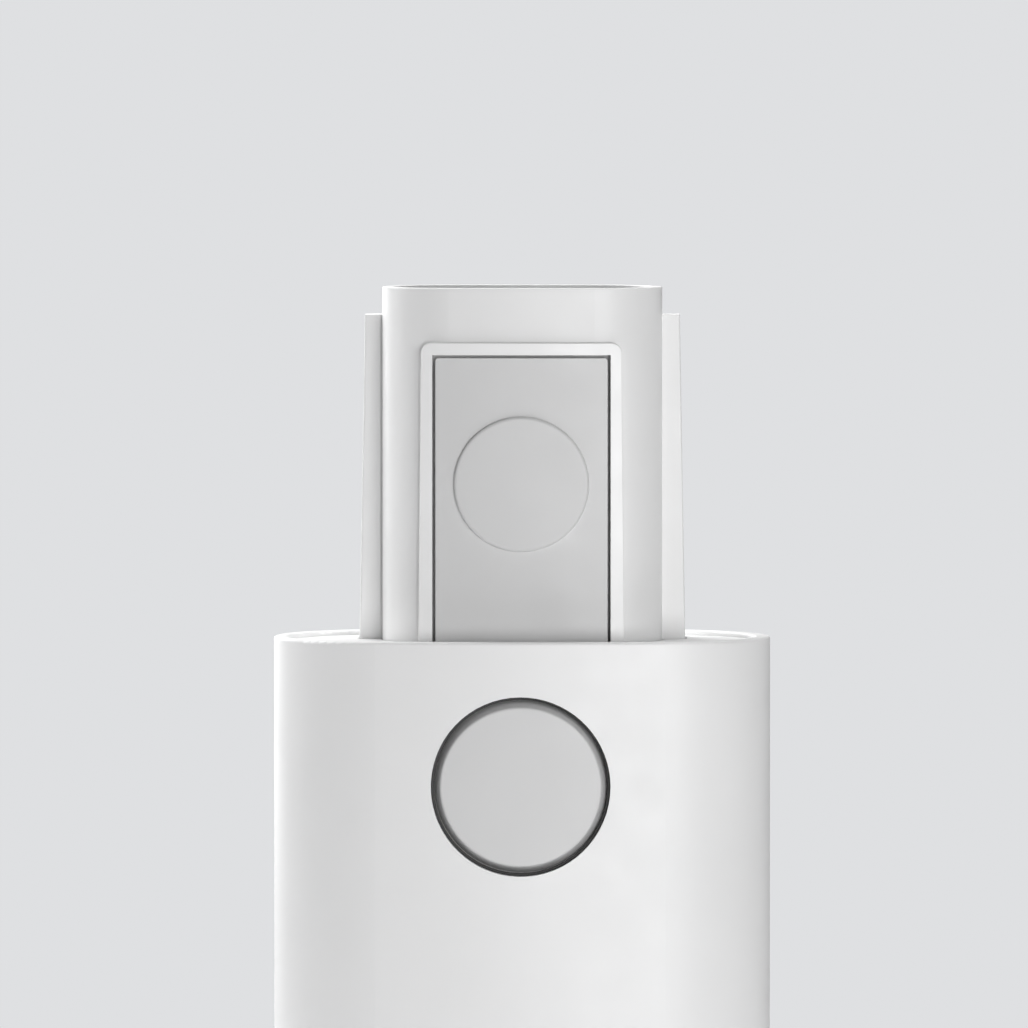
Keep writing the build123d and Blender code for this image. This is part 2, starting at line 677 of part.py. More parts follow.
def terminal_block():
    low, high = terminal_span()
    body = block(-TERMINAL_HALF, TERMINAL_HALF, -9.0, SLEEVE_BACK, low, high)
    for x in (-4.6, 4.6):
        body -= rod_y(1.2, -8.5, -2, x, TERMINAL_Z)
    return body



def terminal_screws():
    screws = Part()
    for x in (-4.6, 4.6):
        head = rod_y(2.6, SLEEVE_BACK, -1.4, x, TERMINAL_Z)
        head -= block(x - 3, x + 3, -1.9, 0, TERMINAL_Z - 0.35, TERMINAL_Z + 0.35)
        screws += head + rod_y(1.2, -8.3, SLEEVE_BACK, x, TERMINAL_Z)
    return screws


# ---- Wall bracket -------------------------------------------------------------------------------------------------


def keyhole(x, z, neck_half, entry_r, y0, y1):
    """A slot that runs up from a stud's place to its way in."""
    slot = rod_y(neck_half, y0, y1, x, z) + block(x - neck_half, x + neck_half, y0, y1, z, z + LIFT)
    return slot + rod_y(entry_r, y0, y1, x, z + LIFT)


def wall_bracket():
    half = BRACKET_HEIGHT / 2
    plate = block(-BRACKET_HALF, BRACKET_HALF, BRACKET_FACE, 0, -half, half)
    plate = fillet(plate.edges().filter_by(Axis.Y), 6.0)
    plate = fillet(edges_at(plate, Axis.Y, BRACKET_FACE), 0.4)
    skin_back = BRACKET_FACE + BRACKET_SKIN
    for x, z in stud_places():
        plate -= keyhole(x, z, STUD_NECK_R + 0.2, STUD_HEAD_R + 0.4, BRACKET_FACE - 1, skin_back)
        plate -= keyhole(x, z, STUD_HEAD_R + 0.4, STUD_HEAD_R + 0.4, skin_back, 1)
    plate -= block(-9.5, 9.5, BRACKET_FACE - 1, 1, TERMINAL_Z - 4.0, TERMINAL_Z + 9.4)
    plate -= block(-5, 5, BRACKET_FACE - 1, 1, -5, 22)
    for z in (-WALL_HOLE_Z, WALL_HOLE_Z):
        plate -= rod_y(WALL_HOLE_R, -4, 1, 0, z)
        plate -= rod_y(3.6, -4, BRACKET_FACE + 1.1, 0, z)
    return plate


# ---- Core ---------------------------------------------------------------------------------------------------------

CAP_SCREW_X = 13.2
TOP_CAP_Z = 102.4
TOP_CAP_T = 2.0
PORT_Y = -14.0
BOARD_FRONT = -19.0
BOARD_BACK = -18.0
SPRING_PLACES = [(x, z) for x in (-8.4, 8.4) for z in (48.0, 92.6)]


def core_shell():
    body = core_solid(0, CORE_BOTTOM, CORE_TOP) - core_solid(CORE_WALL, CORE_BOTTOM - 1, CORE_TOP + 1)
    body = fillet(edges_at(body, Axis.Z, CORE_TOP), 0.15)
    for z0, z1 in ((TOP_CAP_Z - TOP_CAP_T - 7.4, TOP_CAP_Z - TOP_CAP_T), (CORE_BOTTOM + 3, CORE_BOTTOM + 7)):
        body += both_sides(rod_z(2.6, z0, z1, CAP_SCREW_X, CORE_MID_Y))
        body -= both_sides(rod_z(PILOT_R, z0 + 0.6, z1 - 0.6, CAP_SCREW_X, CORE_MID_Y))
    body -= both_sides(rod_z(PILOT_R, TOP_CAP_Z - 4, TOP_CAP_Z, CAP_SCREW_X, CORE_MID_Y))
    body -= both_sides(rod_z(PILOT_R, CORE_BOTTOM, CORE_BOTTOM + 4, CAP_SCREW_X, CORE_MID_Y))
    half = WINDOW_HALF + CUTOUT_MARGIN
    cutout = block(-half, half, -26, -20, WINDOW_BOTTOM - CUTOUT_MARGIN, WINDOW_TOP + CUTOUT_MARGIN)
    return body - cutout


def frame_outline():
    """The frame's outside: straight sides that widen downwards, with round corners."""
    bottom_half = FRAME_TOP_HALF + (FRAME_TOP - FRAME_BOTTOM) * FRAME_TAPER
    corners = [
        (-bottom_half, FRAME_BOTTOM),
        (bottom_half, FRAME_BOTTOM),
        (FRAME_TOP_HALF, FRAME_TOP),
        (-FRAME_TOP_HALF, FRAME_TOP),
    ]
    outline = make_face(Polyline(*corners, close=True))
    return fillet(outline.vertices(), FRAME_CORNER_R)


def core_frame():
    body = facing(frame_outline(), FRAME_FACE - 1, FRAME_LIP_END) & crown(FRAME_FACE, CORE_CROWN_R)
    body = fillet(foremost(body), 0.15)
    body -= block(-WINDOW_HALF, WINDOW_HALF, -26, -20, WINDOW_BOTTOM, WINDOW_TOP)
    return body - core_shell()


def guide_rails():
    """The core's two rails, each with the block that stops the core at the top of its travel."""
    stop_low = STOP_TOP - STOP_T

    def half_at(z):
        return RAIL_TOP_HALF + (RAIL_TOP - z) * RAIL_TAPER

    corners = [
        (12.0, CORE_BOTTOM + 1),
        (half_at(CORE_BOTTOM + 1), CORE_BOTTOM + 1),
        (half_at(stop_low), stop_low),
        (STOP_HALF, stop_low),
        (STOP_HALF, STOP_TOP),
        (half_at(STOP_TOP), STOP_TOP),
        (RAIL_TOP_HALF, RAIL_TOP),
        (12.0, RAIL_TOP),
    ]
    body = facing(make_face(Polyline(*corners, close=True)), RAIL_FRONT, RAIL_BACK)
    long_edges = [e for e in body.edges() if e.length > 40 and e.center().X > 15 and e.center().Z > 70]
    body = fillet(long_edges, 0.25)
    return both_sides(body - core_solid(0, 0, 120))


def core_top_cap():
    """The recessed cap at the core's top, with the charging port's opening and a hinge seat for its flap."""
    low = TOP_CAP_Z - TOP_CAP_T
    cap = core_solid(CORE_WALL + 0.05, low, TOP_CAP_Z)
    cap -= both_sides(rod_z(1.0, low - 1, TOP_CAP_Z + 1, CAP_SCREW_X, CORE_MID_Y))
    cap -= block(-4.6, 4.6, PORT_Y - 1.75, PORT_Y + 1.75, low - 1, TOP_CAP_Z + 1)
    ear = block(6.6, 8.0, HINGE_Y - 1.0, HINGE_Y + 1.0, TOP_CAP_Z, HINGE_Z + 0.7)
    ear = fillet(ear.edges().filter_by(Axis.X).group_by(Axis.Z)[-1], 0.6)
    cap += both_sides(ear)
    return cap - rod_x(0.4, -7.7, 7.7, HINGE_Y, HINGE_Z)


HINGE_Y = -10.4
HINGE_Z = 103.3


def flap_pin():
    return rod_x(0.4, -7.7, 7.7, HINGE_Y, HINGE_Z)


def port_flap():
    """The soft flap over the charging port, with a shallow plug under it."""
    plate = block(-6.4, 6.4, PORT_Y - 3.6, HINGE_Y, TOP_CAP_Z + 0.1, TOP_CAP_Z + 1.2)
    plate = fillet(edges_at(plate, Axis.Y, PORT_Y - 3.6).filter_by(Axis.Z), 1.5)
    tab = fillet(block(-2.5, 2.5, PORT_Y - 5.0, PORT_Y - 3.4, TOP_CAP_Z + 0.1, TOP_CAP_Z + 0.9).edges().filter_by(Axis.Z), 0.7)
    barrel = rod_x(0.78, -6.4, 6.4, HINGE_Y, HINGE_Z)
    plug = block(-3.6, 3.6, PORT_Y - 0.7, PORT_Y + 0.7, TOP_CAP_Z - 0.6, TOP_CAP_Z + 0.2)
    return plate + tab + barrel + plug - rod_x(0.43, -8, 8, HINGE_Y, HINGE_Z)


def charging_port():
    """The charging receptacle's metal shell, standing up to the cap, with its tongue."""
    shell = block(-4.5, 4.5, PORT_Y - 1.65, PORT_Y + 1.65, 94.6, TOP_CAP_Z - 0.2)
    shell = fillet(shell.edges().filter_by(Axis.Z), 1.5)
    room = block(-4.2, 4.2, PORT_Y - 1.35, PORT_Y + 1.35, 95.6, TOP_CAP_Z + 1)
    tongue = block(-3.2, 3.2, PORT_Y - 0.35, PORT_Y + 0.35, 94.8, TOP_CAP_Z - 2.2)
    return shell - fillet(room.edges().filter_by(Axis.Z), 1.2) + tongue


def core_bottom_cap():
    cap = core_solid(CORE_WALL + 0.05, CORE_BOTTOM, CORE_BOTTOM + 3)
    cap -= both_sides(rod_z(1.0, CORE_BOTTOM - 1, CORE_BOTTOM + 4, CAP_SCREW_X, CORE_MID_Y))
    cap -= both_sides(rod_z(SCREW_HEAD_R + 0.1, CORE_BOTTOM - 1, CORE_BOTTOM + 1.0, CAP_SCREW_X, CORE_MID_Y))
    for x, y in PIN_PLACES:
        cap -= rod_z(0.9, CORE_BOTTOM - 1, CORE_BOTTOM + 1.2, x, y)
    return cap


def contact_pads():
    pads = Part()
    for x, y in PIN_PLACES:
        pads += rod_z(0.9, CORE_BOTTOM - 0.1, CORE_BOTTOM + 1.2, x, y)
    return pads


def core_screws():
    screws = screw_z(CAP_SCREW_X, CORE_MID_Y, TOP_CAP_Z + SCREW_HEAD_T, 95.0)
    screws += screw_z(CAP_SCREW_X, CORE_MID_Y, CORE_BOTTOM + 0.1, CORE_BOTTOM + 5.8)
    return both_sides(screws)


def core_board():
    board = block(-12.4, 12.4, BOARD_FRONT, BOARD_BACK, 40.0, 97.6)
    return fillet(board.edges().filter_by(Axis.Y), 1.0)


def battery_tray():
    """The sheet behind the board that the cell rests on, with a lip over each end of the cell."""
    tray = block(-13.0, 13.0, -17.9, -17.1, 26.0, 91.6) + block(-9.0, 9.0, -17.9, -17.1, 24.6, 26.0)
    tray += block(-9.0, 9.0, -17.1, -9.2, 90.4, 91.6)
    tray += block(-9.0, 9.0, -17.1, -9.2, 24.6, 25.8)
    return tray - block(-3.0, 3.0, -15.5, -9.0, 90, 92)


def battery_cell():
    cell = block(-12.0, 12.0, -17.1, -8.9, 26.0, 90.2)
    return fillet(cell.edges().filter_by(Axis.Z), 2.2)




def battery_plug():
    return block(-3.4, 3.4, BOARD_BACK, -16.2, 91.9, 95.9)


LEAD_R = 0.55
LEAD_X = (-1.6, 1.6)


def battery_leads():
    """The two leads from the cell up and forward into the plug on the core's board."""
    leads = Part()
    for x in LEAD_X:
        run = FilletPolyline((x, -11.8, 90.2), (x, -11.8, 93.9), (x, -16.2, 93.9), radius=1.6)
        leads += sweep(Plane(run @ 0, z_dir=run % 0) * Circle(LEAD_R), path=run)
    return leads


def press_plate():
    half, low, high = WINDOW_HALF - PLATE_GAP, WINDOW_BOTTOM + PLATE_GAP, WINDOW_TOP - PLATE_GAP
    body = block(-half, half, PLATE_FACE - 1, PLATE_BACK, low, high)
    body = fillet(body.edges().filter_by(Axis.Y), 0.4)
    body &= crown(PLATE_FACE, CORE_CROWN_R)
    body = fillet(foremost(body), 0.12)
    body += block(-half - 0.8, half + 0.8, FRAME_LIP_END + 0.15, PLATE_BACK, low - 0.8, high + 0.8)
    body -= rod_y(5.0, PLATE_FACE - 1, PLATE_FACE + 1.2, 0, PAD_Z)
    return body + rod_y(1.7, PLATE_BACK, -19.9, 0, PAD_Z)


def press_pad():
    pad = rod_y(PAD_R, PAD_FACE - 1, -24, 0, PAD_Z) & crown(PAD_FACE, CORE_CROWN_R)
    pad -= crown(PLATE_FACE, CORE_CROWN_R)
    pad = fillet(foremost(pad), 0.42)
    return pad + (rod_y(5.0, PLATE_FACE - 0.5, PLATE_FACE + 1.2, 0, PAD_Z) & crown(PLATE_FACE - 0.2, CORE_CROWN_R))


def push_switch():
    """The small push switch on the core's board, open in front for the plate's nub."""
    body = block(-3.0, 3.0, -20.4, BOARD_FRONT, PAD_Z - 3.0, PAD_Z + 3.0)
    return body - rod_y(2.0, -21, -19.3, 0, PAD_Z)



def plate_springs():
    springs = Part()
    for x, z in SPRING_PLACES:
        springs += coil_y(1.5, 0.15, 3.5, PLATE_BACK, BOARD_FRONT, x, z)
    return springs


# ---- Build --------------------------------------------------------------------------------------------------------

NODES = {
    "wall_bracket": wall_bracket,
    "outer_sleeve": outer_sleeve,
    "hanging_studs": hanging_studs,
    "top_collar": top_collar,
    "base_cap": base_cap,
    "base_seal": base_seal,
    "base_screws": base_screws,
    "guide_channels": guide_channels,
    "inner_screws": inner_screws,
    "bulkhead": bulkhead,
    "pogo_block": pogo_block,
    "pogo_pins": pogo_pins,
    "button_guide": button_guide,
    "bell_button": bell_button,
    "button_magnet": button_magnet,
    "button_spring": button_spring,
    "camera_trim": camera_trim,
    "camera_window": camera_window,
    "ir_led_board": ir_led_board,
    "ir_leds": ir_leds,
    "camera_cradle": camera_cradle,
    "lens_barrel": lens_barrel,
    "lens_elements": lens_elements,
    "lens_holder": lens_holder,
    "filter_shuttle": filter_shuttle,
    "filter_glasses": filter_glasses,
    "filter_actuator": filter_actuator,
    "image_sensor": image_sensor,
    "camera_board": camera_board,
    "camera_flex": camera_flex,
    "main_board": main_board,
    "radio_shield": radio_shield,
    "sensor_board": sensor_board,
    "pir_lens": pir_lens,
    "pir_sensor": pir_sensor,
    "microphone": microphone,
    "light_pipe": light_pipe,
    "speaker_driver": speaker_driver,
    "speaker_cone": speaker_cone,
    "terminal_block": terminal_block,
    "terminal_screws": terminal_screws,
    "core_shell": core_shell,
    "core_frame": core_frame,
    "guide_rails": guide_rails,
    "core_top_cap": core_top_cap,
    "flap_pin": flap_pin,
    "port_flap": port_flap,
    "charging_port": charging_port,
    "core_bottom_cap": core_bottom_cap,
    "contact_pads": contact_pads,
    "core_screws": core_screws,
    "core_board": core_board,
    "battery_tray": battery_tray,
    "battery_cell": battery_cell,
    "battery_plug": battery_plug,
    "battery_leads": battery_leads,
    "press_plate": press_plate,
    "press_pad": press_pad,
    "push_switch": push_switch,
    "plate_springs": plate_springs,
}

for node, make in NODES.items():
    save(node, make())
print(len(NODES), "nodes")
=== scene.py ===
# %% [markdown]
# # A video doorbell
# The doorbell is a white oval housing that hangs on a wall bracket. A battery core stands raised out of its
# top. The solids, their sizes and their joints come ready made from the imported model. This lesson gives them
# finishes, remakes the pieces whose small detail matters, and lights the whole as in a studio.

import bmesh
import bpy
import json
from math import cos, pi, radians, sin
from mathutils import Matrix, Vector


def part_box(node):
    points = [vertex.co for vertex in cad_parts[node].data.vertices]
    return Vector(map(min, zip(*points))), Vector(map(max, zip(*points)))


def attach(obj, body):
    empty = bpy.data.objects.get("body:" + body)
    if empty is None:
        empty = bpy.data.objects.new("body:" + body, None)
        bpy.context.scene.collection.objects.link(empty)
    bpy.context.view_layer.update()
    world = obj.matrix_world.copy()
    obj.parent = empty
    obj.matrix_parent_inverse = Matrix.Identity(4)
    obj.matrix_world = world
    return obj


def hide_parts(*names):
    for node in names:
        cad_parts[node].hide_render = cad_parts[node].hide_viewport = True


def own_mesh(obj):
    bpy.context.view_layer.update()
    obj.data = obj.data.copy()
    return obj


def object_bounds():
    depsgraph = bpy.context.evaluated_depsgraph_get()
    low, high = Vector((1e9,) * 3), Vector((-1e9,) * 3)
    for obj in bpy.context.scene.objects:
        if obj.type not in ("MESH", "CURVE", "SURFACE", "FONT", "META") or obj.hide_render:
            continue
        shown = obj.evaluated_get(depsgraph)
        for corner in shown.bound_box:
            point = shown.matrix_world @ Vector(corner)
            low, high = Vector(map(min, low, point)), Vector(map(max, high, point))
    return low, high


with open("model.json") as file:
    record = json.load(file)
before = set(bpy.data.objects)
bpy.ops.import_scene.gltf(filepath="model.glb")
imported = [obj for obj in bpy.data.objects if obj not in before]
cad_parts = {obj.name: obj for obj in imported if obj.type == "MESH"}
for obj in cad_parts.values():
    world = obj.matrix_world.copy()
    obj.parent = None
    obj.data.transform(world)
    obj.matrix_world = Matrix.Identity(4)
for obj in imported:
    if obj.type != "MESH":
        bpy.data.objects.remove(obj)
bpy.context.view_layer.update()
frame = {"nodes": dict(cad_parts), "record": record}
MM = 0.001


# %% [markdown]
# ## A short way to wire shaders
# Every finish here is a Principled shader with a few texture nodes in front of it. Wiring each by hand takes
# many lines, so a small class keeps the node tree and adds one node at a time. A plain number goes straight
# onto a socket, and only a pattern is linked.

# %% A material with helper methods
class Finish:
    """A material whose nodes are added one call at a time."""

    def __init__(self, name, colour, roughness):
        self.material = bpy.data.materials.new(name)
        self.material.use_nodes = True
        self.tree = self.material.node_tree
        self.shader = self.tree.nodes["Principled BSDF"]
        self.shader.inputs["Base Color"].default_value = (*colour, 1)
        self.shader.inputs["Roughness"].default_value = roughness
        self.place = self.add("ShaderNodeTexCoord").outputs["Object"]

    def add(self, kind, inputs=None, **settings):
        node = self.tree.nodes.new(kind)
        for key, value in settings.items():
            setattr(node, key, value)
        for key, value in (inputs or {}).items():
            if isinstance(value, bpy.types.NodeSocket):
                self.tree.links.new(value, node.inputs[key])
            else:
                node.inputs[key].default_value = value
        return node

    def set(self, **values):
        for key, value in values.items():
            self.shader.inputs[key.replace("_", " ")].default_value = value
        return self

    def link(self, socket, name):
        self.tree.links.new(socket, self.shader.inputs[name])

    def noise(self, per_metre, detail=3.0, stretch=(1, 1, 1)):
        place = self.add("ShaderNodeMapping", {"Vector": self.place, "Scale": stretch}).outputs[0]
        inputs = {"Vector": place, "Scale": per_metre, "Detail": detail}
        return self.add("ShaderNodeTexNoise", inputs).outputs["Fac"]

    def between(self, value, low, high, start=0.3, end=0.7):
        """The value, spread from low to high."""
        inputs = {"Value": value, "From Min": start, "From Max": end, "To Min": low, "To Max": high}
        return self.add("ShaderNodeMapRange", inputs).outputs[0]

    def blend(self, value, colour_a, colour_b, start=0.3, end=0.7):
        """A colour between two, chosen by the value."""
        factor = self.between(value, 0, 1, start, end)
        mix = self.add("ShaderNodeMix", data_type="RGBA")
        self.tree.links.new(factor, mix.inputs["Factor"])
        mix.inputs[6].default_value = (*colour_a, 1)
        mix.inputs[7].default_value = (*colour_b, 1)
        return mix.outputs[2]

    def bump(self, height, depth_mm, strength=1.0):
        inputs = {"Height": height, "Distance": depth_mm * MM, "Strength": strength}
        node = self.add("ShaderNodeBump", inputs)
        self.link(node.outputs[0], "Normal")


# %% [markdown]
# ## Moulded plastic
# A moulded shell is never one flat colour. The tool's spark-eroded skin leaves a fine grain about a third of
# a millimetre across, the gloss wanders a little where the melt cooled unevenly, and the tint drifts by a
# percent or two. Three noises at three scales give those three things, and the grain also raises a very
# shallow bump.

# %% The recipe for moulded plastic
def shade(colour, factor):
    return tuple(channel * factor for channel in colour)


def moulded(name, colour, roughness, grain_mm=0.35, depth_mm=0.004, drift=0.02, level=0.6):
    """Plastic with a fine eroded grain, a wandering gloss and a faint drift of tint."""
    finish = Finish(name, colour, roughness).set(Specular_IOR_Level=level)
    cloud = finish.noise(45, 2)
    grain = finish.noise(1 / (grain_mm * MM), 2)
    finish.link(finish.blend(cloud, shade(colour, 1 - drift), shade(colour, 1 + drift)), "Base Color")
    finish.link(finish.between(finish.noise(220, 4), roughness - 0.04, roughness + 0.04), "Roughness")
    finish.bump(grain, depth_mm)
    return finish.material


WHITE = (0.84, 0.84, 0.84)
GREY = (0.65, 0.65, 0.651)
DARK = (0.018, 0.018, 0.02)

white_shell = moulded("white_shell", WHITE, 0.42)
grey_touch = moulded("grey_touch", GREY, 0.46, grain_mm=0.3, depth_mm=0.005)
dark_plastic = moulded("dark_plastic", DARK, 0.38, depth_mm=0.006, drift=0.12)
BLACK = (0.02, 0.02, 0.02)
# The near-black of the button's lip is painted shade, for the shadow in the gap round the bell button.
GAP_SHADE_BLACK = (0.055, 0.055, 0.055)
MID_GREY = (0.30, 0.305, 0.31)
inner_plastic = moulded("inner_plastic", (0.16, 0.165, 0.17), 0.5, grain_mm=0.5, depth_mm=0.01, drift=0.06)
chip_plastic = moulded("chip_plastic", (0.02, 0.02, 0.021), 0.55, grain_mm=0.12, drift=0.1)
black_rubber = moulded("black_rubber", BLACK, 0.72, grain_mm=0.25, depth_mm=0.01, drift=0.15, level=0.3)
# This rubber is painted shade: it darkens the lip in the button's gap, where shadow falls.
gap_shade_rubber = moulded("gap_shade_rubber", GAP_SHADE_BLACK, 0.66, grain_mm=0.25, depth_mm=0.008, drift=0.12, level=0.3)
grey_rubber = moulded("grey_rubber", MID_GREY, 0.68, grain_mm=0.25, depth_mm=0.01, drift=0.04, level=0.35)
lead_red = moulded("lead_red", (0.45, 0.02, 0.015), 0.4, grain_mm=0.2, depth_mm=0.005, drift=0.08)
frame_white = moulded("frame_white", (0.89, 0.89, 0.89), 0.38)
print("plastics", len(bpy.data.materials))

# %% [markdown]
# The motion sensor's dome is a milky plastic lens with ring grooves moulded in its back, which show through
# as faint circles. A wave texture in rings round the dome's own axis makes them, once a Mapping node has
# moved its middle there.

# %% A grooved lens plastic
def ringed_plastic():
    low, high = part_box("pir_lens")
    finish = Finish("pir_plastic", (0.74, 0.74, 0.72), 0.30)
    finish.set(Subsurface_Weight=0.25, Subsurface_Scale=0.002)
    middle = (-(low[0] + high[0]) / 2, 0, -(low[2] + high[2]) / 2)
    place = finish.add("ShaderNodeMapping", {"Vector": finish.place, "Location": middle}).outputs[0]
    rings = finish.add(
        "ShaderNodeTexWave", {"Vector": place, "Scale": 560.0}, wave_type="RINGS", rings_direction="Y"
    ).outputs["Fac"]
    finish.link(finish.blend(rings, (0.69, 0.69, 0.67), (0.78, 0.78, 0.765), 0, 1), "Base Color")
    finish.link(finish.between(finish.noise(220, 4), 0.26, 0.34), "Roughness")
    finish.bump(rings, 0.03)
    return finish.material


pir_plastic = ringed_plastic()
print("lens plastic", pir_plastic.name)

# %% [markdown]
# ## Metals
# Sheet and turned metal shows fine lines along the way it was rolled or cut. A noise squeezed across those
# lines and drawn out along them makes the streaks, which vary the roughness more than the colour. The gold of
# the contacts is plated, so it has no streaks, only a faint mottle.

# %% Brushed, plated and drawn metal
def metal(name, colour, roughness, stretch=(1, 1, 1), streak_mm=0.08, depth_mm=0.0006):
    finish = Finish(name, colour, roughness).set(Metallic=1.0)
    streak = finish.noise(1 / (streak_mm * MM), 3, stretch)
    finish.link(finish.blend(streak, shade(colour, 0.93), shade(colour, 1.04)), "Base Color")
    finish.link(finish.between(streak, roughness - 0.05, roughness + 0.06), "Roughness")
    finish.bump(streak, depth_mm)
    return finish.material


steel = metal("steel", (0.56, 0.56, 0.57), 0.3, (1, 1, 0.12))
magnet_plate = metal("magnet_plate", (0.68, 0.68, 0.70), 0.16, (1, 1, 1), 0.5)
contact_gold = metal("contact_gold", (0.83, 0.60, 0.26), 0.2, (1, 1, 1), 0.3)
shield_tin = metal("shield_tin", (0.62, 0.63, 0.64), 0.27, (0.1, 1, 1))
print("finishes so far", len(bpy.data.materials))

# %% [markdown]
# ## Glass and clear plastic
# The camera's window is lightly smoked glass with a sharp gloss over it. A black border printed on its back
# hides the inner parts, so the glass itself can stay clear enough to show the lens. The coated lenses add a
# thin blue-violet film, which a tinted coat stands for.

# %% Window, lens and clear parts
def clear(name, colour, roughness, transmission, ior=1.5, coat=0.0):
    finish = Finish(name, colour, roughness)
    finish.set(Transmission_Weight=transmission, IOR=ior, Coat_Weight=coat, Coat_Roughness=0.03)
    smear = finish.noise(160, 3)
    finish.link(finish.between(smear, roughness, roughness + 0.035), "Roughness")
    finish.bump(finish.noise(90, 1), 0.002)
    return finish


window_glass = clear("window_glass", (0.55, 0.56, 0.58), 0.01, 0.97, 1.5, 0.4).material
lens_glass = clear("lens_glass", (0.55, 0.58, 0.72), 0.01, 0.95, 1.6, 1.0)
lens_glass = lens_glass.set(Coat_Tint=(0.55, 0.45, 0.95, 1)).material
clear_plastic = clear("clear_plastic", (0.90, 0.92, 0.92), 0.12, 0.85, 1.49).material
print("finishes so far", len(bpy.data.materials))

# %% [markdown]
# ## Circuit boards, ribbon, paper and cell
# A board's solder mask is glossy green over copper, and the tracks under it show as faint straight lines of a
# lighter green. A brick texture, turned a quarter so that it lies on the upright boards, draws such lines
# cheaply. The cell is wrapped in a matt aluminium laminate with fine creases, and the speaker's cone is
# pressed paper.

# %% Boards and the rest
def solder_mask():
    finish = Finish("board", (0.012, 0.10, 0.05), 0.32).set(Coat_Weight=0.25, Coat_Roughness=0.15)
    turned = finish.add("ShaderNodeMapping", {"Vector": finish.place, "Rotation": (pi / 2, 0, 0)}).outputs[0]
    settings = {"Vector": turned, "Scale": 420.0, "Mortar Size": 0.03, "Brick Width": 1.3, "Row Height": 0.5}
    tracks = finish.add("ShaderNodeTexBrick", settings).outputs["Fac"]
    finish.link(finish.blend(tracks, (0.010, 0.085, 0.042), (0.05, 0.22, 0.11), 0, 1), "Base Color")
    finish.bump(tracks, 0.02)
    return finish.material


def creased_foil():
    finish = Finish("cell", (0.66, 0.67, 0.69), 0.34).set(Metallic=0.85)
    crease = finish.noise(260, 5, (1, 1, 0.4))
    finish.link(finish.blend(crease, (0.60, 0.61, 0.63), (0.72, 0.73, 0.75)), "Base Color")
    finish.link(finish.between(crease, 0.26, 0.42), "Roughness")
    finish.bump(crease, 0.03)
    return finish.material


board = solder_mask()
cell_foil = creased_foil()
PAPER = (0.06, 0.06, 0.065)
cone_paper = moulded("cone_paper", PAPER, 0.85, grain_mm=0.4, depth_mm=0.03, drift=0.25, level=0.2)
flex_film = moulded("flex_film", (0.55, 0.27, 0.04), 0.25, grain_mm=1.0, drift=0.08)
print("finishes so far", len(bpy.data.materials))

# %% [markdown]
# ## Which part has which finish
# The record already names a slot for every node, so one table from slot to finish covers most of them. A few
# parts share a slot in the record but differ on the bench, such as the radio's tin shield, and they are named
# one by one.

# %% Give every solid its finish
BY_SLOT = {
    "white_shell": white_shell,
    "grey_touch": grey_touch,
    "dark_plastic": dark_plastic,
    "black_rubber": black_rubber,
    "grey_rubber": grey_rubber,
    "steel": steel,
    "magnet": magnet_plate,
    "contact_gold": contact_gold,
    "window_glass": window_glass,
    "lens_glass": lens_glass,
    "clear_plastic": clear_plastic,
    "pir_plastic": pir_plastic,
    "board": board,
    "chip": chip_plastic,
    "cell": cell_foil,
    "inner_plastic": inner_plastic,
    "lead_red": lead_red,
    "cone_paper": cone_paper,
    "flex_film": flex_film,
}
BY_NODE = {"radio_shield": shield_tin, "charging_port": shield_tin, "core_frame": frame_white}
slot_of = {row["node"]: row["material_slot"] for row in frame["record"]["subparts"]}


def dress(node, finish):
    mesh = frame["nodes"][node].data
    mesh.materials.clear()
    mesh.materials.append(finish)


for node in frame["nodes"]:
    dress(node, BY_NODE.get(node, BY_SLOT[slot_of[node]]))
print("dressed", len(frame["nodes"]), "nodes")

# %% [markdown]
# ## From a bmesh to a piece
# The small parts below are modelled in bmesh, where each operator adds or reshapes geometry in memory. When a
# shape is done, its doubled points are merged, its normals are turned outwards, and sharp edges are marked by
# their angle, so round sides shade smoothly and corners stay crisp. The piece then rides on a body of the
# frame.

# %% Finish a bmesh as a riding piece
def make_piece(name, bm, body, finish, replaced=()):
    bmesh.ops.remove_doubles(bm, verts=bm.verts, dist=0.0005 * MM)
    bmesh.ops.recalc_face_normals(bm, faces=bm.faces)
    mesh = bpy.data.meshes.new(name)
    bm.to_mesh(mesh)
    bm.free()
    mesh.polygons.foreach_set("use_smooth", [True] * len(mesh.polygons))
    mesh.set_sharp_from_angle(angle=radians(34))
    mesh.materials.append(finish)
    piece = bpy.data.objects.new(name, mesh)
    bpy.context.scene.collection.objects.link(piece)
    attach(piece, body)
    if replaced:
        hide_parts(*replaced)
    print(name, "faces", len(mesh.polygons))
    return piece


# %% [markdown]
# ## Screws with a six-lobed socket
# The screws that hold the housing's base and the core's caps have pan heads with a star socket, which resists
# a slipping driver. One is built from its socket outwards. A circle is extruded ring by ring: down in the
# socket each ring is pulled into six lobes, on the head it is plain, and along the shank the rings alternate
# wide and narrow for the thread. Turned parts could be spun, but a spin can't make lobes.

# %% One screw, ring by ring
RING_POINTS = 36
HEAD_R, HEAD_HEIGHT = 1.8, 0.9
PITCH, CREST_R, ROOT_R = 0.62, 0.79, 0.60
PLAIN_LENGTH = 0.8
# Each ring is a radius, a height over the head's underside and the depth of the lobes.
SOCKET = [(0.78, 0.42, 0.13), (0.78, 0.84, 0.13), (0.86, HEAD_HEIGHT, 0.10)]
HEAD = [(1.10, HEAD_HEIGHT, 0), (1.50, 0.84, 0), (1.72, 0.66, 0), (HEAD_R, 0.36, 0), (HEAD_R, 0.04, 0)]
HEAD += [(1.74, 0, 0), (0.80, 0, 0)]


